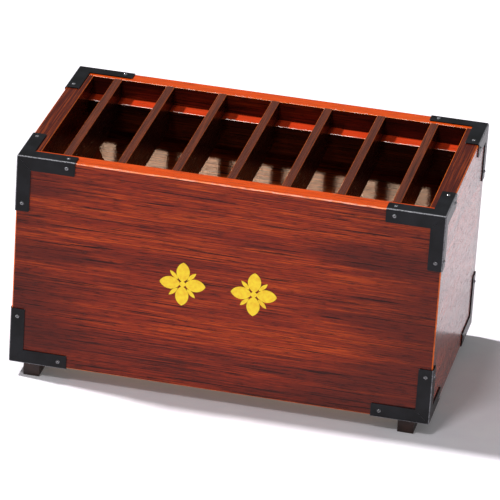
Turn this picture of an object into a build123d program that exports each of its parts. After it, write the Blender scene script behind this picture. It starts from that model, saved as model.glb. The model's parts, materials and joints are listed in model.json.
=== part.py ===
from build123d import *
import os
from math import radians, tan

# Table-top offertory box: a lacquered hardwood box with an open slatted top,
# a coin hopper under the slats, and a lockable cash drawer in the rear face.
#
# Millimetres. +X is to the right of someone facing the front, +Y is to the rear,
# +Z is up. The origin is on the standing surface, under the centre of the whole
# object's box.

# Overall sizes, measured over the sheet-metal corner fittings
LENGTH = 303.0
DEPTH = 173.4
BODY_HEIGHT = 159.2
FOOT_HEIGHT = 9.6

# Carcass boards
LONG_BOARD = 13.0
END_BOARD = 13.4
BOTTOM_BOARD = 9.0
EDGE_EASE = 0.8
INNER_EASE = 0.4

# Corner fittings and their round-headed nails
PLATE = 0.8
FITTING_ARM = 42.0
FITTING_WIDTH = 10.5
FITTING_FOLD = 1.4
ARM_CORNER = 1.0
SEAM_WIDTH = 0.3
SEAM_DEPTH = 0.25
NAIL_ALONG = 36.0
NAIL_ACROSS = 5.2
NAIL_HEAD_RADIUS = 1.4
NAIL_HEAD_HEIGHT = 1.0
NAIL_SHANK_RADIUS = 0.6
NAIL_LENGTH = 4.0
NAIL_CLEARANCE = 0.02

# Slatted top
SLAT_COUNT = 7
SLAT_WIDTH = 6.0
SLAT_HEIGHT = 28.0
SLAT_PITCH = 38.8
FIRST_SLAT_GAP = 15.6
LEDGE_DROP = 14.0
LEDGE_DEPTH = 12.0
LEDGE_HEIGHT = 21.0

# Hopper: four sloping boards that end round a slot over the drawer
HOPPER_DROP = 43.0
HOPPER_ANGLE = 43.0
HOPPER_SKIN = 6.8
SLOT_HALF_WIDTH = 14.0
SLOT_HALF_LENGTH = 84.0
CLEAT = 10.0

# Runners that the box stands on
RUNNER_WIDTH = 11.6
RUNNER_INSET = 10.8
RUNNER_SETBACK = 2.0
RUNNER_EASE = 0.6
REBATE_CLEARANCE = 0.1
SCREW_HEAD_RADIUS = 3.0
SCREW_RADIUS = 1.5
SCREW_LENGTH = 14.0
SCREW_RECESS = 2.0
SCREW_FROM_END = 30.0

# Drawer
GAP = 0.3
DRAWER_OPENING_WIDTH = 190.0
DRAWER_OPENING_HEIGHT = 42.0
DRAWER_FRONT = 8.0
DRAWER_SIDE = 6.0
DRAWER_SIDE_HEIGHT = 36.0
DRAWER_LENGTH = 140.0
DRAWER_FLOOR = 3.0
FLOOR_RAISE = 3.0
FLOOR_GROOVE = 3.0
GUIDE_WIDTH = 10.0
GUIDE_HEIGHT = 12.0
STOP_DEPTH = 8.0

# Ring pull, in the middle of the drawer front
PULL_PLATE_RADIUS = 9.0
EYE_WIRE = 0.9
EYE_RADIUS = 2.6
RING_WIRE = 1.1
RING_RADIUS = 9.0
PULL_HEIGHT = 27.0
STAPLE_SHANK = 1.2
CLINCH_RADIUS = 3.0
CLINCH_THICKNESS = 0.8

# Cam lock, beside the pull
LOCK_X = -62.0
LOCK_BELOW_TOP = 13.0
LOCK_BARREL = 5.5
LOCK_FLANGE = 7.5
LOCK_FLANGE_THICKNESS = 1.2
LOCK_NUT_RADIUS = 7.5
LOCK_NUT_THICKNESS = 2.5
PLUG_RADIUS = 4.0
PLUG_CLEARANCE = 0.05
KEY_SLOT = (1.2, 4.6)
KEY_SLOT_DEPTH = 3.0
CAM_LENGTH = 18.0
CAM_WIDTH = 9.0
CAM_THICKNESS = 2.0
CAM_SCREW_RADIUS = 2.6
CAM_SCREW_HEIGHT = 1.2
CAM_SCREW_THREAD = 1.2
MORTISE_HEIGHT = 6.0
MORTISE_CLEARANCE = 1.0

# Gilded ornaments on the front
ORNAMENT_THICKNESS = 0.25
ORNAMENT_DROP = 79.0
LEFT_ORNAMENT_X = -29.2
RIGHT_ORNAMENT_X = 21.6

# Places worked out from the sizes
REACH_AHEAD = PLATE + NAIL_HEAD_HEIGHT
REACH_BEHIND = PLATE + EYE_RADIUS + EYE_RADIUS + 2 * EYE_WIRE
MIDDLE_Y = (REACH_AHEAD - REACH_BEHIND) / 2
LEFT = -LENGTH / 2 + PLATE
RIGHT = LENGTH / 2 - PLATE
FRONT = MIDDLE_Y - DEPTH / 2 + PLATE
REAR = MIDDLE_Y + DEPTH / 2 - PLATE
BASE = FOOT_HEIGHT + PLATE
TOP = FOOT_HEIGHT + BODY_HEIGHT - PLATE
INNER_LEFT = LEFT + END_BOARD
INNER_RIGHT = RIGHT - END_BOARD
INNER_FRONT = FRONT + LONG_BOARD
INNER_REAR = REAR - LONG_BOARD
FLOOR_TOP = BASE + BOTTOM_BOARD
OPENING_TOP = FLOOR_TOP + DRAWER_OPENING_HEIGHT
LEDGE_TOP = TOP - LEDGE_DROP
HOPPER_TOP = TOP - HOPPER_DROP
HOPPER_FALL = (INNER_REAR - MIDDLE_Y - SLOT_HALF_WIDTH) * tan(radians(HOPPER_ANGLE))
DRAWER_HALF = DRAWER_OPENING_WIDTH / 2 - GAP
DRAWER_BASE = FLOOR_TOP + GAP
DRAWER_TOP = OPENING_TOP - GAP
DRAWER_FACE_BACK = REAR - DRAWER_FRONT
DRAWER_END = REAR - DRAWER_LENGTH
PULL_Z = DRAWER_BASE + PULL_HEIGHT
PULL_Y = REAR + PLATE + EYE_RADIUS + EYE_WIRE
LOCK_Z = DRAWER_TOP - LOCK_BELOW_TOP


def block(x_range, y_range, z_range):
    """A plain block between two planes along each axis."""
    low = Vector(x_range[0], y_range[0], z_range[0])
    high = Vector(x_range[1], y_range[1], z_range[1])
    size = high - low
    centre = (low + high) * 0.5
    return Pos(centre.X, centre.Y, centre.Z) * Box(size.X, size.Y, size.Z)


def rod(start, direction, length, radius):
    """A round bar from a start point along a direction."""
    plane = Plane(origin=start, z_dir=direction)
    return extrude(plane * Circle(radius), amount=length)


def arris(shape, axis, x=None, y=None, z=None):
    """The edge along an axis that lies nearest the given planes."""

    def distance(edge):
        middle = edge.center()
        places = zip((middle.X, middle.Y, middle.Z), (x, y, z))
        return sum(abs(value - place) for value, place in places if place is not None)

    return shape.edges().filter_by(axis).sort_by(distance)[0]


# Corner fittings and nails

CORNERS = [
    (side, face, level)
    for level in ("top", "bottom")
    for face in ("front", "rear")
    for side in ("left", "right")
]


def corner_signs(corner):
    side, face, level = corner
    return (
        1 if side == "right" else -1,
        1 if face == "rear" else -1,
        1 if level == "top" else -1,
    )


def corner_point(corner):
    """The outermost point of the body at a corner, over the fitting."""
    sx, sy, sz = corner_signs(corner)
    return Vector(
        sx * LENGTH / 2,
        MIDDLE_Y + sy * DEPTH / 2,
        FOOT_HEIGHT + BODY_HEIGHT / 2 + sz * BODY_HEIGHT / 2,
    )


def unit(axis_index, sign):
    values = [0, 0, 0]
    values[axis_index] = sign
    return Vector(*values)


def nail_sites(corner):
    """Each nail's point on the outside of its plate, and the way out of the wood."""
    signs = corner_signs(corner)
    sites = []
    for normal in range(3):
        first, second = [axis for axis in range(3) if axis != normal]
        for along, across in ((first, second), (second, first)):
            inward = unit(along, -signs[along]) * NAIL_ALONG
            inward += unit(across, -signs[across]) * NAIL_ACROSS
            sites.append((corner_point(corner) + inward, unit(normal, signs[normal])))
    return sites


def nail(point, outward):
    """A short nail with a domed head, driven in against the outward direction."""
    dome_radius = (NAIL_HEAD_RADIUS**2 + NAIL_HEAD_HEIGHT**2) / (2 * NAIL_HEAD_HEIGHT)
    dome_centre = NAIL_HEAD_HEIGHT - dome_radius
    shoulder = NAIL_HEAD_RADIUS / 2
    outline = Polyline(
        (0, NAIL_HEAD_HEIGHT),
        (0, -NAIL_LENGTH),
        (NAIL_SHANK_RADIUS, -NAIL_LENGTH),
        (NAIL_SHANK_RADIUS, 0),
        (NAIL_HEAD_RADIUS, 0),
    ) + ThreePointArc(
        (NAIL_HEAD_RADIUS, 0),
        (shoulder, dome_centre + (dome_radius**2 - shoulder**2) ** 0.5),
        (0, NAIL_HEAD_HEIGHT),
    )
    profile = Plane.XZ * make_face(outline)
    return Plane(origin=point, z_dir=outward) * revolve(profile, Axis.Z)


def nail_hole(point, outward):
    start = point + outward
    return rod(start, outward * -1, NAIL_LENGTH + 1, NAIL_SHANK_RADIUS + NAIL_CLEARANCE)


def all_nail_holes():
    return [nail_hole(*site) for corner in CORNERS for site in nail_sites(corner)]


def fitting(corner):
    """Three L-shaped leaves round one corner, folded from one sheet."""
    arm = FITTING_ARM
    cube = Pos(-arm / 2, -arm / 2, -arm / 2) * Box(arm, arm, arm)
    outer_edges = cube.edges().filter_by(
        lambda edge: sum(abs(value) < 1e-6 for value in edge.center()) == 2
    )
    shell = fillet(outer_edges, FITTING_FOLD)
    shell -= Pos(-PLATE, -PLATE, -PLATE) * Pos(-arm / 2, -arm / 2, -arm / 2) * Box(arm, arm, arm)
    window = arm - FITTING_WIDTH
    shift = -FITTING_WIDTH - window / 2
    for size, place in (
        ((window, window, 4 * PLATE), (shift, shift, 0)),
        ((window, 4 * PLATE, window), (shift, 0, shift)),
        ((4 * PLATE, window, window), (0, shift, shift)),
    ):
        shell -= Pos(*place) * Box(*size)
    tips = shell.edges().filter_by(
        lambda edge: edge.length < PLATE + 0.01 and min(edge.center()) < 0.01 - arm
    )
    shell = fillet(tips, ARM_CORNER)
    seam_start = 2 * FITTING_FOLD
    seam_end = FITTING_WIDTH + 1
    seam = Rot(0, 45, 0) * Box(SEAM_WIDTH, 2 * SEAM_DEPTH, (seam_end - seam_start) * 2**0.5)
    shell -= Pos(-(seam_start + seam_end) / 2, 0, -(seam_start + seam_end) / 2) * seam
    sx, sy, sz = corner_signs(corner)
    if sx < 0:
        shell = mirror(shell, about=Plane.YZ)
    if sy < 0:
        shell = mirror(shell, about=Plane.XZ)
    if sz < 0:
        shell = mirror(shell, about=Plane.XY)
    place = corner_point(corner)
    shell = Pos(place.X, place.Y, place.Z) * shell
    for site in nail_sites(corner):
        shell -= nail_hole(*site)
    return shell


# Carcass

def long_board(outer_y, inner_y):
    """The front or the rear board, with its outer arrises and inner top arris eased."""
    board = block((LEFT, RIGHT), sorted((outer_y, inner_y)), (BASE, TOP))
    outer_face = board.faces().sort_by(lambda face: abs(face.center().Y - outer_y))[0]
    board = chamfer(outer_face.edges(), EDGE_EASE)
    return chamfer(arris(board, Axis.X, y=inner_y, z=TOP), INNER_EASE)


def end_board(outer_x, inner_x):
    """An end board, which fits between the front and the rear board."""
    board = block(sorted((outer_x, inner_x)), (INNER_FRONT, INNER_REAR), (BASE, TOP))
    outer_arrises = [arris(board, Axis.Y, x=outer_x, z=z) for z in (BASE, TOP)]
    board = chamfer(outer_arrises, EDGE_EASE)
    return chamfer(arris(board, Axis.Y, x=inner_x, z=TOP), INNER_EASE)


def lock_mortise():
    """The pocket over the drawer opening that the lock's cam turns up into."""
    reach = (CAM_LENGTH**2 + (CAM_WIDTH / 2) ** 2) ** 0.5
    side_reach = (reach**2 - LOCK_BELOW_TOP**2) ** 0.5
    return block(
        (LOCK_X - CAM_WIDTH / 2 - MORTISE_CLEARANCE, LOCK_X + side_reach + MORTISE_CLEARANCE),
        (INNER_REAR - 1, DRAWER_FACE_BACK - LOCK_NUT_THICKNESS + MORTISE_CLEARANCE),
        (OPENING_TOP - 1, OPENING_TOP + MORTISE_HEIGHT),
    )


def rear_board():
    board = long_board(REAR, INNER_REAR)
    half = DRAWER_OPENING_WIDTH / 2
    board -= block((-half, half), (INNER_REAR - 1, REAR + 1), (FLOOR_TOP, OPENING_TOP))
    return board - lock_mortise()


def ledge(wall_y, inner_y):
    """A bearer along the front or rear wall that the slats rest on."""
    bearer = block(
        (INNER_LEFT, INNER_RIGHT), sorted((wall_y, inner_y)), (LEDGE_TOP - LEDGE_HEIGHT, LEDGE_TOP)
    )
    return chamfer(arris(bearer, Axis.X, y=inner_y, z=LEDGE_TOP), INNER_EASE)


def slat(index):
    """A bar across the top, notched at both ends over the ledges."""
    left = INNER_LEFT + FIRST_SLAT_GAP + index * SLAT_PITCH
    bar = block((left, left + SLAT_WIDTH), (INNER_FRONT, INNER_REAR), (TOP - SLAT_HEIGHT, TOP))
    top_arrises = bar.faces().sort_by(Axis.Z)[-1].edges().filter_by(Axis.Y)
    bar = chamfer(top_arrises, INNER_EASE)
    for low, high in ((INNER_FRONT, INNER_FRONT + LEDGE_DEPTH), (INNER_REAR - LEDGE_DEPTH, INNER_REAR)):
        bar -= block((left - 1, left + SLAT_WIDTH + 1), (low, high), (TOP - SLAT_HEIGHT - 1, LEDGE_TOP))
    return bar


# Hopper

HOPPER_RIM = [
    Vector(x, y, HOPPER_TOP)
    for x, y in (
        (INNER_LEFT, INNER_FRONT),
        (INNER_RIGHT, INNER_FRONT),
        (INNER_RIGHT, INNER_REAR),
        (INNER_LEFT, INNER_REAR),
    )
]
HOPPER_SLOT = [
    Vector(x, MIDDLE_Y + y, HOPPER_TOP - HOPPER_FALL)
    for x, y in (
        (-SLOT_HALF_LENGTH, -SLOT_HALF_WIDTH),
        (SLOT_HALF_LENGTH, -SLOT_HALF_WIDTH),
        (SLOT_HALF_LENGTH, SLOT_HALF_WIDTH),
        (-SLOT_HALF_LENGTH, SLOT_HALF_WIDTH),
    )
]
HOPPER_SIDES = ["front", "right", "rear", "left"]


def hopper_board(index):
    """A sloping board, mitred to its neighbours at the hips of the hopper."""
    following = (index + 1) % 4
    outline = Wire.make_polygon(
        [HOPPER_RIM[index], HOPPER_RIM[following], HOPPER_SLOT[following], HOPPER_SLOT[index]],
        close=True,
    )
    return extrude(Face(outline), amount=HOPPER_SKIN, dir=(0, 0, -1))


def hopper_cleat(index):
    """A strip on the wall under a hopper board, planed to the board's slope."""
    start = HOPPER_RIM[index]
    end = HOPPER_RIM[(index + 1) % 4]
    along = (end - start).normalized()
    inward = Vector(-along.Y, along.X, 0)
    fall = HOPPER_FALL / abs((HOPPER_SLOT[index] - start).dot(inward))
    inset = CLEAT + GAP
    drop = Vector(0, 0, -HOPPER_SKIN)
    corner = start + along * inset + drop
    profile = Wire.make_polygon(
        [
            corner,
            corner + inward * CLEAT + Vector(0, 0, -fall * CLEAT),
            corner + inward * CLEAT + Vector(0, 0, -fall * CLEAT - CLEAT / 2),
            corner + Vector(0, 0, -fall * CLEAT - CLEAT / 2),
        ],
        close=True,
    )
    return extrude(Face(profile), amount=(end - start).length - 2 * inset, dir=along)


# Runners

def runner_x(sign):
    return sign * (LENGTH / 2 - RUNNER_INSET - RUNNER_WIDTH / 2)


def runner_screw_sites(sign):
    y_low = MIDDLE_Y - DEPTH / 2 + RUNNER_SETBACK + SCREW_FROM_END
    y_high = MIDDLE_Y + DEPTH / 2 - RUNNER_SETBACK - SCREW_FROM_END
    return [Vector(runner_x(sign), y, SCREW_RECESS) for y in (y_low, y_high)]


def runner_screw(point, clearance=0.0):
    head = Pos(point.X, point.Y, point.Z) * Cone(
        SCREW_HEAD_RADIUS + clearance,
        SCREW_RADIUS + clearance,
        SCREW_RECESS,
        align=(Align.CENTER, Align.CENTER, Align.MIN),
    )
    return head + rod(point, (0, 0, 1), SCREW_LENGTH + clearance, SCREW_RADIUS + clearance)


def runner(sign):
    x = runner_x(sign)
    y_low = MIDDLE_Y - DEPTH / 2 + RUNNER_SETBACK
    y_high = MIDDLE_Y + DEPTH / 2 - RUNNER_SETBACK
    bar = block((x - RUNNER_WIDTH / 2, x + RUNNER_WIDTH / 2), (y_low, y_high), (0, BASE))
    bar = chamfer(bar.faces().sort_by(Axis.Z)[0].edges(), RUNNER_EASE)
    leaf = FITTING_WIDTH + REBATE_CLEARANCE
    rebate_base = FOOT_HEIGHT - REBATE_CLEARANCE
    for y_outer, y_inner in (
        (MIDDLE_Y - DEPTH / 2, MIDDLE_Y - DEPTH / 2 + leaf),
        (MIDDLE_Y + DEPTH / 2, MIDDLE_Y + DEPTH / 2 - leaf),
    ):
        bar -= block((x - LENGTH, x + LENGTH), sorted((y_outer, y_inner)), (rebate_base, BASE + 1))
    for point in runner_screw_sites(sign):
        bar -= runner_screw(point, NAIL_CLEARANCE)
        recess = Vector(point.X, point.Y, -1)
        bar -= rod(recess, (0, 0, 1), SCREW_RECESS + 1, SCREW_HEAD_RADIUS + NAIL_CLEARANCE)
    return bar


def bottom_board():
    board = block((INNER_LEFT, INNER_RIGHT), (INNER_FRONT, INNER_REAR), (BASE, FLOOR_TOP))
    for sign in (-1, 1):
        for point in runner_screw_sites(sign):
            board -= runner_screw(point, NAIL_CLEARANCE)
    return board


# Drawer

def drawer_guide(sign):
    inner = sign * (DRAWER_HALF + GAP)
    outer = inner + sign * GUIDE_WIDTH
    return block(
        sorted((inner, outer)), (DRAWER_END, INNER_REAR), (FLOOR_TOP, FLOOR_TOP + GUIDE_HEIGHT)
    )


def drawer_stop():
    return block(
        (-DRAWER_HALF / 2, DRAWER_HALF / 2),
        (DRAWER_END - GAP - STOP_DEPTH, DRAWER_END - GAP),
        (FLOOR_TOP, FLOOR_TOP + GUIDE_HEIGHT),
    )


def drawer_floor():
    """The thin floor, let into grooves in the front and the sides."""
    half = DRAWER_HALF - DRAWER_SIDE + FLOOR_GROOVE
    low = DRAWER_BASE + FLOOR_RAISE
    return block((-half, half), (DRAWER_END, DRAWER_FACE_BACK + FLOOR_GROOVE), (low, low + DRAWER_FLOOR))


def drawer_front():
    board = block((-DRAWER_HALF, DRAWER_HALF), (DRAWER_FACE_BACK, REAR), (DRAWER_BASE, DRAWER_TOP))
    board = chamfer(board.faces().sort_by(Axis.Y)[-1].edges(), INNER_EASE)
    board -= drawer_floor()
    board -= rod((0, DRAWER_FACE_BACK - 1, PULL_Z), (0, 1, 0), DRAWER_FRONT + 2, STAPLE_SHANK)
    board -= rod((LOCK_X, DRAWER_FACE_BACK - 1, LOCK_Z), (0, 1, 0), DRAWER_FRONT + 2, LOCK_BARREL)
    return board


def drawer_side(sign):
    outer = sign * DRAWER_HALF
    inner = outer - sign * DRAWER_SIDE
    board = block(
        sorted((outer, inner)),
        (DRAWER_END, DRAWER_FACE_BACK),
        (DRAWER_BASE, DRAWER_BASE + DRAWER_SIDE_HEIGHT),
    )
    return board - drawer_floor()


def drawer_back():
    """The back stands on the floor, between the sides."""
    half = DRAWER_HALF - DRAWER_SIDE
    low = DRAWER_BASE + FLOOR_RAISE + DRAWER_FLOOR
    high = DRAWER_BASE + DRAWER_SIDE_HEIGHT
    return block((-half, half), (DRAWER_END, DRAWER_END + DRAWER_SIDE), (low, high))


# Ring pull

def pull_plate():
    rose = rod((0, REAR, PULL_Z), (0, 1, 0), PLATE, PULL_PLATE_RADIUS)
    rose = chamfer(rose.faces().sort_by(Axis.Y)[-1].edges(), PLATE / 2)
    return rose - rod((0, REAR - 1, PULL_Z), (0, 1, 0), PLATE + 2, STAPLE_SHANK)


def pull_staple():
    """A forged eye whose shank runs through the drawer front and is riveted inside."""
    eye = Plane(origin=(0, PULL_Y, PULL_Z), z_dir=(1, 0, 0)) * Torus(EYE_RADIUS, EYE_WIRE)
    inside = DRAWER_FACE_BACK - CLINCH_THICKNESS
    shank_length = PULL_Y - EYE_RADIUS - inside
    shank = rod((0, inside, PULL_Z), (0, 1, 0), shank_length, STAPLE_SHANK)
    rivet = rod((0, inside, PULL_Z), (0, 1, 0), CLINCH_THICKNESS, CLINCH_RADIUS)
    return eye + shank + rivet


def pull_ring():
    centre = (0, PULL_Y, PULL_Z - RING_RADIUS)
    return Plane(origin=centre, z_dir=(0, 1, 0)) * Torus(RING_RADIUS, RING_WIRE)


# Cam lock

NUT_BACK = DRAWER_FACE_BACK - LOCK_NUT_THICKNESS
CAM_FACE = NUT_BACK - GAP


def lock_bar(y_low, y_high, radius):
    return rod((LOCK_X, y_low, LOCK_Z), (0, 1, 0), y_high - y_low, radius)


def lock_barrel():
    """A flanged tube through the drawer front."""
    flange = lock_bar(REAR, REAR + LOCK_FLANGE_THICKNESS, LOCK_FLANGE)
    flange = fillet(flange.faces().sort_by(Axis.Y)[-1].edges(), LOCK_FLANGE_THICKNESS / 2)
    tube = flange + lock_bar(NUT_BACK, REAR, LOCK_BARREL)
    return tube - lock_bar(NUT_BACK - 1, REAR + 2, PLUG_RADIUS + PLUG_CLEARANCE)


def lock_nut():
    plane = Plane(origin=(LOCK_X, NUT_BACK, LOCK_Z), z_dir=(0, 1, 0))
    nut = extrude(plane * RegularPolygon(LOCK_NUT_RADIUS, 6), amount=LOCK_NUT_THICKNESS)
    return nut - lock_bar(NUT_BACK - 1, DRAWER_FACE_BACK + 1, LOCK_BARREL)


def lock_plug():
    """The turning core, with a key slot in its outer face."""
    plug = lock_bar(CAM_FACE, REAR + LOCK_FLANGE_THICKNESS - GAP, PLUG_RADIUS)
    slot_width, slot_height = KEY_SLOT
    mouth = REAR + LOCK_FLANGE_THICKNESS
    plug -= block(
        (LOCK_X - slot_height / 2, LOCK_X + slot_height / 2),
        (mouth - KEY_SLOT_DEPTH, mouth + 1),
        (LOCK_Z - slot_width / 2, LOCK_Z + slot_width / 2),
    )
    return plug - lock_bar(CAM_FACE - 1, CAM_FACE + KEY_SLOT_DEPTH, CAM_SCREW_THREAD)


def lock_cam():
    """The bolt of the lock: a flat arm that lies level when unlocked."""
    plane = Plane(origin=(LOCK_X, CAM_FACE - CAM_THICKNESS, LOCK_Z), x_dir=(1, 0, 0), z_dir=(0, 1, 0))
    half = CAM_WIDTH / 2
    outline = Circle(half) + Pos(CAM_LENGTH / 2, 0) * Rectangle(CAM_LENGTH, CAM_WIDTH)
    arm = extrude(plane * outline, amount=CAM_THICKNESS)
    return arm - lock_bar(CAM_FACE - CAM_THICKNESS - 1, CAM_FACE + 1, CAM_SCREW_THREAD)


def cam_screw():
    head_back = CAM_FACE - CAM_THICKNESS - CAM_SCREW_HEIGHT
    head = lock_bar(head_back, CAM_FACE - CAM_THICKNESS, CAM_SCREW_RADIUS)
    head = fillet(head.faces().sort_by(Axis.Y)[0].edges(), CAM_SCREW_HEIGHT / 2)
    return head + lock_bar(head_back, CAM_FACE + KEY_SLOT_DEPTH, CAM_SCREW_THREAD)


# Gilded ornaments: a flower of broad petals with narrow ones between them

PETAL = {"start": 1.6, "length": 14.8, "width": 9.4}
SEPAL = {"start": 4.6, "length": 8.6, "width": 2.8}
FLOWER_EYE = 2.1


def petal(start, length, width, angle):
    """A pointed oval between two equal arcs, lying along a ray from the flower's centre."""
    tip = start + length
    middle = start + length / 2
    upper = ThreePointArc((start, 0), (middle, width / 2), (tip, 0))
    lower = ThreePointArc((tip, 0), (middle, -width / 2), (start, 0))
    return Rot(0, 0, angle) * make_face(upper + lower)


def ornament(centre_x):
    sketch = Sketch() + Circle(FLOWER_EYE)
    for quarter in range(4):
        sketch += petal(**PETAL, angle=90 * quarter)
        sketch += petal(**SEPAL, angle=90 * quarter + 45)
    plane = Plane(
        origin=(centre_x, FRONT, TOP - ORNAMENT_DROP), x_dir=(1, 0, 0), z_dir=(0, -1, 0)
    )
    return extrude(plane * sketch, amount=ORNAMENT_THICKNESS)


# Assembly

def nailed(board, holes):
    """A board with the nail holes that reach it."""
    box = board.bounding_box()
    for hole in holes:
        near = hole.bounding_box()
        if all(
            low < near_high and near_low < high
            for low, high, near_low, near_high in zip(box.min, box.max, near.min, near.max)
        ):
            board -= hole
    return board


def build_parts():
    holes = all_nail_holes()
    parts = {
        "front_board": nailed(long_board(FRONT, INNER_FRONT), holes),
        "rear_board": nailed(rear_board(), holes),
        "left_end_board": nailed(end_board(LEFT, INNER_LEFT), holes),
        "right_end_board": nailed(end_board(RIGHT, INNER_RIGHT), holes),
        "bottom_board": bottom_board(),
        "front_slat_ledge": ledge(INNER_FRONT, INNER_FRONT + LEDGE_DEPTH),
        "rear_slat_ledge": ledge(INNER_REAR, INNER_REAR - LEDGE_DEPTH),
    }
    for index in range(SLAT_COUNT):
        parts[f"slat_{index + 1}"] = slat(index)
    for index, side in enumerate(HOPPER_SIDES):
        parts[f"{side}_hopper_board"] = hopper_board(index)
        parts[f"{side}_hopper_cleat"] = hopper_cleat(index)
    for side, sign in (("left", -1), ("right", 1)):
        parts[f"{side}_runner"] = runner(sign)
        parts[f"{side}_drawer_guide"] = drawer_guide(sign)
        parts[f"{side}_drawer_side"] = drawer_side(sign)
    parts["runner_screws"] = Compound(
        [runner_screw(point) for sign in (-1, 1) for point in runner_screw_sites(sign)]
    )
    parts["drawer_stop"] = drawer_stop()
    parts["drawer_front"] = drawer_front()
    parts["drawer_back"] = drawer_back()
    parts["drawer_floor"] = drawer_floor()
    parts["pull_plate"] = pull_plate()
    parts["pull_staple"] = pull_staple()
    parts["pull_ring"] = pull_ring()
    parts["lock_barrel"] = lock_barrel()
    parts["lock_nut"] = lock_nut()
    parts["lock_plug"] = lock_plug()
    parts["lock_cam"] = lock_cam()
    parts["cam_screw"] = cam_screw()
    for corner in CORNERS:
        side, face, level = corner
        parts[f"{level}_{face}_{side}_fitting"] = fitting(corner)
    parts["fitting_nails"] = Compound(
        [nail(*site) for corner in CORNERS for site in nail_sites(corner)]
    )
    parts["left_gilt_ornament"] = ornament(LEFT_ORNAMENT_X)
    parts["right_gilt_ornament"] = ornament(RIGHT_ORNAMENT_X)
    return parts


os.makedirs("parts", exist_ok=True)
for name, shape in build_parts().items():
    export_step(shape, f"parts/{name}.step")
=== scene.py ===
import json

import bpy
from mathutils import Matrix, Vector


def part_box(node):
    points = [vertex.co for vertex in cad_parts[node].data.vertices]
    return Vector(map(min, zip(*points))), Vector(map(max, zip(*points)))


# The look of a table-top offertory box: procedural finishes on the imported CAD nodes,
# a plain studio and the camera. Metres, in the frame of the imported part.

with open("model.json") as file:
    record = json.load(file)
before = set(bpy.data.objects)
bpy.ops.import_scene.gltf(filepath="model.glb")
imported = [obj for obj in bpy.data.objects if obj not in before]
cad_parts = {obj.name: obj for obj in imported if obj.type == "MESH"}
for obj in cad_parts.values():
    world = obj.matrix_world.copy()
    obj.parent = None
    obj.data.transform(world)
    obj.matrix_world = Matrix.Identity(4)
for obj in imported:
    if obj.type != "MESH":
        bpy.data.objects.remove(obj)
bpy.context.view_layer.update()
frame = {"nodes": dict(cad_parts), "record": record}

X, Y, Z = range(3)

# Camera: where it stands to the box, what is level in it, and the lens
CAMERA_LOCATION = Vector((0.5352, -2.7651, 1.3686))
CAMERA_AIM = Vector((0.0003, -0.0034, 0.0825))
CAMERA_RIGHT = Vector((0.9745, 0.2164, 0.0594))
CAMERA_LENS = 313.0
CAMERA_SENSOR = 36.0
CAMERA_REACH = 50.0

# Studio: a key lamp overhead from the left, a softbox whose glare the front arrises and the
# rear slope return, a pale room and a pale floor
KEY_DIRECTION = Vector((-0.58, 0.08, 0.81))
KEY_STRENGTH = 3.9
KEY_ANGLE = 0.07
SOFTBOX_DIRECTION = Vector((-0.178, -0.43, 0.887))
SOFTBOX_STRENGTH = 0.7
SOFTBOX_ANGLE = 0.175
ROOM_LIGHT = 0.18
FLOOR_RADIUS = 12.0
FLOOR_SIDES = 96
FLOOR_GLOW = 0.08

# The well inside the four boards, in plan; the boards' inner faces lie a hair within it
HAIR = 0.0002
WELL_LOW = (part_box("left_end_board")[1][X] - HAIR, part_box("front_board")[1][Y] - HAIR)
WELL_HIGH = (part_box("right_end_board")[0][X] + HAIR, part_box("rear_board")[0][Y] + HAIR)

# How often each figure of the wood repeats in a metre, along the grain and across it
BANDS = (4, 60)
STREAKS = (16, 900)
PORES = (95, 1700)
LINES = (16, 1200)
RINGS = (5, 110)
FIBRES = (60, 1500)

# Between which tones the wood turns from dark to middle, and from middle to light
DARK_TO_MIDDLE = (0.36, 0.50)
MIDDLE_TO_LIGHT = (0.49, 0.64)

# How far a board's lightest part lies before the middle of its length, and between which
# distances from it the board darkens towards its ends with painted shade
LIT_MIDDLE_SHIFT = 0.02
END_SHADE_FADE = (0.05, 0.15)

# Between which heights of its normal a face counts as one of the top rims, and how much painted
# sheen it then shows, the lamps' highlight painted into the rims' colour
RIM_TILT = (0.8, 0.95)
RIM_SHEEN_SHARE = 0.9

# How much of the pore colour the pores and the long lines show, and how much rougher pores are
PORE_SHARE = 0.6
LINE_SHARE = 0.95
PORE_ROUGHNESS = 0.12

# How often each mark on lacquer, metal and the floor repeats in a metre
RUBS = 240
DENTS = 170
GRAINS = 1400
PATCHES = 60
CLOUDS = 350
BRUSHING = (200, 4500)
FLECKS = 40

# How deep the bumps are, in the finishes that aren't given a depth
FIBRE_DEPTH = 0.00008
BRUSHING_DEPTH = 0.00001
FLECK_DEPTH = 0.00001

WHITE = (1.0, 1.0, 1.0, 1.0)


def srgb(red, green, blue):
    """A linear RGBA colour from 0-255 display values."""
    linear = []
    for value in (red, green, blue):
        share = value / 255
        linear.append(share / 12.92 if share <= 0.04045 else ((share + 0.055) / 1.055) ** 2.4)
    return (*linear, 1.0)


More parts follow.
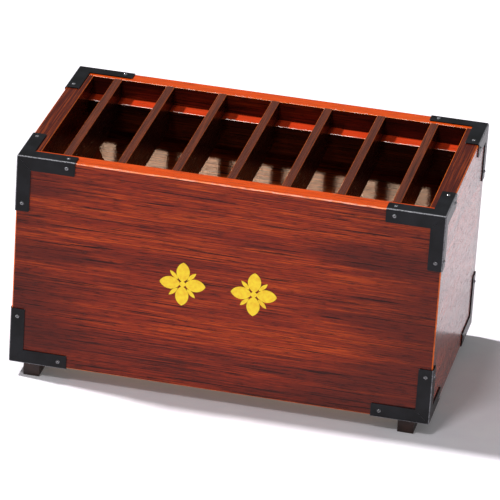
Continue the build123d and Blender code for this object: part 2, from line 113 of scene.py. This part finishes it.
class Finish:
    """One node material on a Principled shader, with short calls for the nodes it needs."""

    def __init__(self, name, **sockets):
        self.material = bpy.data.materials.new(name)
        self.material.use_nodes = True
        self.tree = self.material.node_tree
        self.shader = self.tree.nodes["Principled BSDF"]
        for socket, value in sockets.items():
            self.shader.inputs[socket.replace("_", " ")].default_value = value
        coordinates = self.node("TexCoord", {}).outputs
        self.place = coordinates["Object"]
        self.normal = coordinates["Normal"]

    def node(self, kind, inputs, **settings):
        made = self.tree.nodes.new("ShaderNode" + kind)
        for key, value in settings.items():
            setattr(made, key, value)
        for key, value in inputs.items():
            self.join(value, made.inputs[key])
        return made

    def join(self, value, socket):
        if isinstance(value, bpy.types.NodeSocket):
            self.tree.links.new(value, socket)
        else:
            socket.default_value = value

    def math(self, operation, first, second=0.0):
        return self.node("Math", {0: first, 1: second}, operation=operation).outputs[0]

    def band(self, value, low, high, start=0.0, end=1.0):
        """Start below low, end above high, and a smooth change between them."""
        inputs = {"Value": value, "From Min": low, "From Max": high, "To Min": start, "To Max": end}
        return self.node("MapRange", inputs, interpolation_type="SMOOTHSTEP").outputs["Result"]

    def mix(self, share, first, second):
        inputs = {0: share, 6: first, 7: second}
        return self.node("Mix", inputs, data_type="RGBA").outputs[2]

    def noise(self, vector, scale=1.0, detail=3.0, roughness=0.55, distortion=0.0):
        inputs = {
            "Vector": vector,
            "Scale": scale,
            "Detail": detail,
            "Roughness": roughness,
            "Distortion": distortion,
        }
        return self.node("TexNoise", inputs).outputs[0]

    def grain(self, along, repeats, **settings):
        """Noise drawn out along one axis, with its repeats in a metre along and across."""
        scale = [repeats[1]] * 3
        scale[along] = repeats[0]
        vector = self.node("Mapping", {"Vector": self.place, "Scale": scale}).outputs["Vector"]
        return self.noise(vector, **settings)

    def blend(self, first, first_share, second):
        """A weighted mean of two values."""
        return self.math(
            "ADD",
            self.math("MULTIPLY", first, first_share),
            self.math("MULTIPLY", second, 1 - first_share),
        )

    def split(self, vector):
        return self.node("SeparateXYZ", {"Vector": vector}).outputs

    def edges(self):
        """1 on the eased arrises of a square board, 0 on its flat faces."""
        size = self.node("VectorMath", {0: self.normal}, operation="ABSOLUTE").outputs[0]
        x, y, z = self.split(size)
        longest = self.math("MAXIMUM", self.math("MAXIMUM", x, y), z)
        return self.band(longest, 0.82, 0.97, 1.0, 0.0)

    def inside(self, low, high):
        """1 within a rectangle of the plan, given by its low and high corners, 0 outside it."""
        within = 1.0
        for value, least, most in zip(self.split(self.place), low, high):
            within = self.math("MULTIPLY", within, self.math("GREATER_THAN", value, least))
            within = self.math("MULTIPLY", within, self.math("LESS_THAN", value, most))
        return within

    def finish(self, colour, roughness, height, depth):
        """Joins the colour, the roughness and the bump, whose height of 1 is that depth."""
        self.join(colour, self.shader.inputs["Base Color"])
        self.join(roughness, self.shader.inputs["Roughness"])
        bump = self.node("Bump", {"Height": height, "Distance": depth})
        self.join(bump.outputs["Normal"], self.shader.inputs["Normal"])
        return self.material


def open_pored_wood(
    name, along, dark, middle, light, pore_colour, rim_sheen, arris_wear_and_highlight,
    smoothest, ior, depth, edge_wear_and_highlight=1.0, shade=0.6, glare=WHITE,
):
    """Lacquered hardwood: broad bands, fine streaks, short dark pores and a few long dark lines.

    Its top rims take a painted sheen, the lamps' highlight painted into their colour; its arrises
    show a paler edge colour, partly wear and partly a painted highlight; and its walls inside the
    well are darkened by painted shade, as far as shade says. The lacquer's roughness is smoothest
    or a little more.
    """
    wood = Finish(name, IOR=ior, Specular_Tint=glare)
    bands = wood.grain(along, BANDS)
    streaks = wood.grain(along, STREAKS, detail=4, roughness=0.65)
    pores = wood.grain(along, PORES, detail=2)
    lines = wood.grain(along, LINES, detail=2, distortion=0.3)

    tone = wood.blend(bands, 0.35, streaks)
    colour = wood.mix(wood.band(tone, *DARK_TO_MIDDLE), dark, middle)
    colour = wood.mix(wood.band(tone, *MIDDLE_TO_LIGHT), colour, light)
    # Painted shade: each board darkens towards its ends, away from its lightest part near the middle
    from_lit_middle = wood.math("ABSOLUTE", wood.math("ADD", wood.split(wood.place)[along], LIT_MIDDLE_SHIFT))
    painted_end_shade = wood.math("MULTIPLY", from_lit_middle, wood.band(bands, 0.35, 0.65, 1.35, 0.75))
    colour = wood.mix(wood.band(painted_end_shade, *END_SHADE_FADE, 0.0, 0.75), colour, dark)

    # Painted sheen: top faces take the rims' highlight colour, streaked with the paler edge colour
    up = wood.band(wood.split(wood.normal)[Z], *RIM_TILT)
    rim_sheen_colour = wood.mix(wood.band(streaks, 0.45, 0.65, 0.0, 0.16), rim_sheen, arris_wear_and_highlight)
    colour = wood.mix(wood.math("MULTIPLY", up, RIM_SHEEN_SHARE), colour, rim_sheen_colour)

    pore = wood.band(pores, 0.53, 0.63)
    line = wood.band(lines, 0.60, 0.66)
    pore_share = wood.math("MULTIPLY", pore, PORE_SHARE)
    line_share = wood.math("MULTIPLY", line, LINE_SHARE)
    figure = wood.math("MAXIMUM", pore_share, line_share)
    # Pores and lines show less on the top faces, under the painted sheen
    figure = wood.math("MULTIPLY", figure, wood.band(up, 0.0, 1.0, 1.0, 0.6))
    colour = wood.mix(figure, colour, pore_colour)

    # Painted shade: the walls inside the well are darkened towards the pore colour
    sides = wood.math("SUBTRACT", 1.0, up)
    painted_shade_walls = wood.math("MULTIPLY", wood.inside(WELL_LOW, WELL_HIGH), sides)
    colour = wood.mix(wood.math("MULTIPLY", painted_shade_walls, shade), colour, pore_colour)

    rubs = wood.noise(wood.place, scale=RUBS)
    # The eased arrises take a paler edge colour: partly wear, partly a painted highlight
    worn_and_highlit = wood.math("MULTIPLY", wood.edges(), wood.band(rubs, 0.3, 0.6, 0.55 * edge_wear_and_highlight, edge_wear_and_highlight))
    colour = wood.mix(worn_and_highlit, colour, arris_wear_and_highlight)
    lacquer = wood.band(rubs, 0.3, 0.7, smoothest, smoothest + 0.05)
    roughness = wood.math("ADD", wood.math("MULTIPLY", pore, PORE_ROUGHNESS), lacquer)
    height = wood.math("SUBTRACT", wood.math("MULTIPLY", streaks, 0.5), pore)
    return wood.finish(colour, roughness, height, depth)


def planed_wood(name, along, dark, light, smoothest, ior):
    """Bare or stained wood with soft growth bands and fibres."""
    wood = Finish(name, IOR=ior)
    rings = wood.grain(along, RINGS, distortion=0.3)
    fibres = wood.grain(along, FIBRES)
    tone = wood.blend(rings, 0.7, fibres)
    colour = wood.mix(wood.band(tone, 0.35, 0.65), dark, light)
    colour = wood.mix(wood.math("MULTIPLY", wood.edges(), 0.35), colour, light)
    roughness = wood.band(fibres, 0.3, 0.7, smoothest, smoothest + 0.12)
    return wood.finish(colour, roughness, fibres, FIBRE_DEPTH)


def black_iron(name, base, worn_colour, smoothest, ior, depth):
    """Blackened iron: faint hammer marks, and paint rubbed thin along folds and edges, lightened there
    as wear and as a painted highlight.
    """
    iron = Finish(name, IOR=ior)
    dents = iron.noise(iron.place, scale=DENTS, detail=1)
    grains = iron.noise(iron.place, scale=GRAINS)
    patches = iron.noise(iron.place, scale=PATCHES)
    edges = iron.edges()
    colour = iron.mix(iron.band(patches, 0.35, 0.7), base, worn_colour)
    # Folds and edges turn pale grey: partly rubbed paint, partly a painted highlight
    rubbed_and_highlit = iron.math("MULTIPLY", edges, iron.band(grains, 0.35, 0.6, 0.2, 0.8))
    colour = iron.mix(rubbed_and_highlit, colour, srgb(165, 165, 170))
    roughness = iron.band(grains, 0.3, 0.7, smoothest, smoothest + 0.12)
    roughness = iron.math("MULTIPLY", roughness, iron.band(edges, 0.0, 1.0, 1.0, 0.4))
    height = iron.math("ADD", dents, iron.math("MULTIPLY", grains, 0.08))
    return iron.finish(colour, roughness, height, depth)


def bright_metal(name, base, tarnish, metallic, smoothest):
    """Bright metal or gilding with fine brushing and cloudy tarnish."""
    bright = Finish(name, Metallic=metallic, IOR=1.5)
    clouds = bright.noise(bright.place, scale=CLOUDS, detail=4)
    brushing = bright.grain(X, BRUSHING, detail=2)
    colour = bright.mix(bright.band(clouds, 0.35, 0.75), base, tarnish)
    colour = bright.mix(bright.band(brushing, 0.4, 0.7, 0.0, 0.25), colour, tarnish)
    roughness = bright.band(clouds, 0.3, 0.7, smoothest, smoothest + 0.15)
    return bright.finish(colour, roughness, brushing, BRUSHING_DEPTH)


# The settings of each wood; a hopper board's slopes lie at the angle of an eased edge, so they
# show no edge wear or painted edge highlight, and no painted shade on their walls
WOODS = {
    "lacquered_board": {
        "dark": srgb(84, 28, 20),
        "middle": srgb(146, 45, 22),
        "light": srgb(204, 78, 24),
        "pore_colour": srgb(32, 12, 10),
        "arris_wear_and_highlight": srgb(235, 110, 35),
        "smoothest": 0.13,
        "ior": 1.25,
        "depth": 0.00002,
    },
    # The inner wood is painted darker than the outer boards, partly as painted shade in the well, and
    # its bright top colour is the painted highlight on the ledges' tops
    "lacquered_inner_wood": {
        "dark": srgb(50, 16, 10),
        "middle": srgb(92, 30, 14),
        "light": srgb(140, 54, 20),
        "pore_colour": srgb(18, 7, 5),
        "rim_sheen": srgb(215, 62, 26),
        "arris_wear_and_highlight": srgb(220, 96, 40),
        "smoothest": 0.14,
        "ior": 1.4,
        "depth": 0.00001,
    },
    "hopper_board": {
        "dark": srgb(96, 34, 15),
        "middle": srgb(152, 60, 22),
        "light": srgb(206, 98, 38),
        "pore_colour": srgb(40, 14, 8),
        "rim_sheen": srgb(206, 98, 38),
        "arris_wear_and_highlight": srgb(206, 98, 38),
        "smoothest": 0.12,
        "ior": 1.58,
        "depth": 0.00001,
        "edge_wear_and_highlight": 0.0,
        "shade": 0.0,
        "glare": srgb(255, 214, 180),
    },
    "lacquered_slat": {
        "dark": srgb(52, 22, 15),
        "middle": srgb(76, 33, 21),
        "light": srgb(104, 48, 28),
        "pore_colour": srgb(20, 9, 7),
        "rim_sheen": srgb(84, 40, 28),
        "arris_wear_and_highlight": srgb(196, 92, 36),
        "smoothest": 0.22,
        "ior": 1.3,
        "depth": 0.00003,
    },
    "plain_wood": {
        "dark": srgb(186, 146, 98),
        "light": srgb(222, 188, 138),
        "smoothest": 0.55,
        "ior": 1.45,
    },
    "dark_runner_wood": {
        "dark": srgb(34, 20, 16),
        "light": srgb(58, 34, 26),
        "smoothest": 0.42,
        "ior": 1.4,
    },
}
PLANED_WOODS = ("plain_wood", "dark_runner_wood")

# Painted sheen on the top rims: a bright painted highlight on the long boards, dull on the end boards
BOARD_RIM_SHEENS = {X: srgb(212, 74, 12), Y: srgb(62, 19, 12)}

METALS = {
    "black_iron": black_iron(
        "black_iron",
        base=srgb(12, 13, 15),
        worn_colour=srgb(26, 27, 31),
        smoothest=0.3,
        ior=1.27,
        depth=0.00003,
    ),
    "black_nail": black_iron(
        "black_nail",
        base=srgb(16, 16, 18),
        worn_colour=srgb(24, 24, 26),
        smoothest=0.12,
        ior=1.9,
        depth=0.00001,
    ),
    "gilt": bright_metal(
        "gilt",
        base=srgb(252, 222, 40),
        tarnish=srgb(244, 196, 30),
        metallic=0.35,
        smoothest=0.3,
    ),
    "lock_brass": bright_metal(
        "lock_brass",
        base=srgb(226, 190, 110),
        tarnish=srgb(176, 138, 70),
        metallic=1.0,
        smoothest=0.18,
    ),
    "plated_steel": bright_metal(
        "plated_steel",
        base=srgb(205, 206, 208),
        tarnish=srgb(160, 160, 158),
        metallic=1.0,
        smoothest=0.25,
    ),
}

# Parts of the names of the nodes whose grain runs along Y; in all others it runs along X
GRAIN_ALONG_Y = ("end_board", "slat_", "runner", "guide", "drawer_side", "left_hopper", "right_hopper")


def grain_axis(node):
    """The axis along which a node's grain runs; a slat ledge is no slat."""
    if any(part in node for part in GRAIN_ALONG_Y) and "ledge" not in node:
        return Y
    return X


def wood_finish(name, kind, along):
    if kind in PLANED_WOODS:
        return planed_wood(name, along, **WOODS[kind])
    settings = dict(WOODS[kind])
    settings.setdefault("rim_sheen", BOARD_RIM_SHEENS[along])
    return open_pored_wood(name, along, **settings)


def paint(node, material):
    node.data.materials.clear()
    node.data.materials.append(material)


woods = {}
for part in frame["record"]["subparts"]:
    name, slot = part["node"], part["material_slot"]
    if slot in METALS:
        paint(frame["nodes"][name], METALS[slot])
        continue
    along = grain_axis(name)
    kind = "hopper_board" if "hopper_board" in name else slot
    key = f"{kind}_{'XYZ'[along]}"
    if key not in woods:
        woods[key] = wood_finish(key, kind, along)
    paint(frame["nodes"][name], woods[key])


def floor():
    bpy.ops.mesh.primitive_circle_add(vertices=FLOOR_SIDES, radius=FLOOR_RADIUS, fill_type="NGON")
    disc = bpy.context.object
    disc.name = "floor"
    paper = Finish("floor_paper", IOR=1.3, Emission_Color=WHITE, Emission_Strength=FLOOR_GLOW)
    flecks = paper.noise(paper.place, scale=FLECKS, detail=2)
    colour = paper.mix(paper.band(flecks, 0.3, 0.7), srgb(240, 234, 242), srgb(244, 240, 246))
    paint(disc, paper.finish(colour, roughness=0.9, height=flecks, depth=FLECK_DEPTH))


def lamp(name, direction, strength, angle):
    light = bpy.data.lights.new(name, "SUN")
    light.energy = strength
    light.angle = angle
    stand = bpy.data.objects.new(name, light)
    stand.rotation_mode = "QUATERNION"
    stand.rotation_quaternion = direction.to_track_quat("Z", "Y")
    bpy.context.scene.collection.objects.link(stand)


def studio():
    lamp("key", KEY_DIRECTION, KEY_STRENGTH, KEY_ANGLE)
    lamp("softbox", SOFTBOX_DIRECTION, SOFTBOX_STRENGTH, SOFTBOX_ANGLE)

    world = bpy.data.worlds.new("room")
    world.use_nodes = True
    world.node_tree.nodes["Background"].inputs["Color"].default_value = WHITE
    world.node_tree.nodes["Background"].inputs["Strength"].default_value = ROOM_LIGHT
    bpy.context.scene.world = world
    bpy.context.scene.view_settings.view_transform = "Standard"


def camera():
    lens = bpy.data.cameras.new("camera")
    lens.lens = CAMERA_LENS
    lens.sensor_width = CAMERA_SENSOR
    lens.clip_end = CAMERA_REACH
    forward = (CAMERA_AIM - CAMERA_LOCATION).normalized()
    right = (CAMERA_RIGHT - CAMERA_RIGHT.dot(forward) * forward).normalized()
    up = right.cross(forward)
    eye = bpy.data.objects.new("camera", lens)
    axes = Matrix((right, up, -forward)).transposed()
    eye.matrix_world = Matrix.Translation(CAMERA_LOCATION) @ axes.to_4x4()
    bpy.context.scene.collection.objects.link(eye)
    bpy.context.scene.camera = eye


floor()
studio()
camera()
